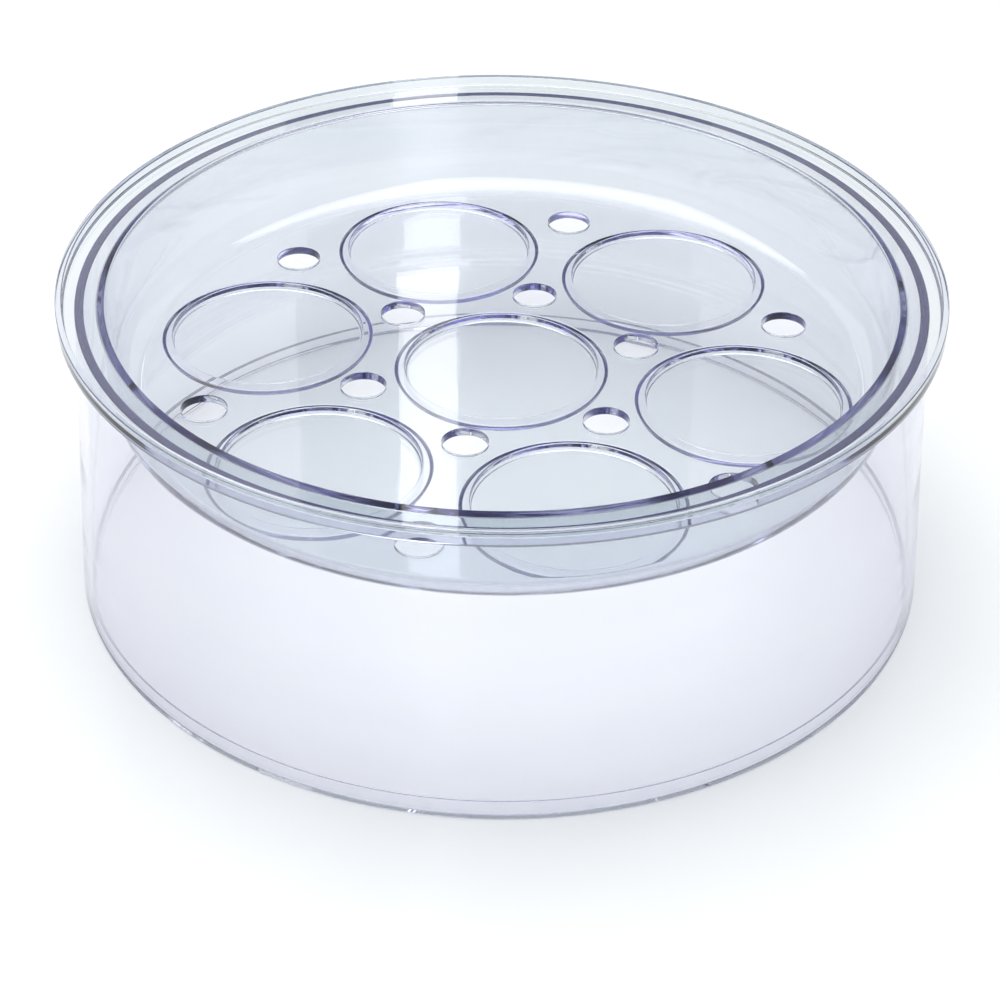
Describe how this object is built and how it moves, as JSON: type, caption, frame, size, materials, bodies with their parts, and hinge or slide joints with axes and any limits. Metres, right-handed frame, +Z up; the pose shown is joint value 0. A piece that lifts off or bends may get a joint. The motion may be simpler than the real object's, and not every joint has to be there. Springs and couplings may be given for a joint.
{
  "type": "food dehydrator tier",
  "caption": "Clear open drum with a lift-out tray of sunk round jar seats and air holes: a stacking tier of a round food dehydrator.",
  "frame": {"origin": "on the tier's axis, in the plane that the drum's foot stands on", "axes": "+Z up along the axis, +X through the middle of an outer jar seat"},
  "size_m": [0.2748, 0.2748, 0.103],
  "materials": {
    "drum_plastic": "clear moulded plastic, polished, faintly lavender and darker where it is seen edge on",
    "tray_plastic": "clear moulded plastic, polished, faintly blue-grey, with soft flow lines in its floor"
  },
  "bodies": {
    "drum": {"drum": "drum_plastic"},
    "tray": {"jar_tray": "tray_plastic"}
  },
  "joints": [
    {"name": "tray_lift", "type": "slide", "parent": "drum", "child": "tray", "axis": [0, 0, 1], "range_m": [0, 0.06]}
  ]
}
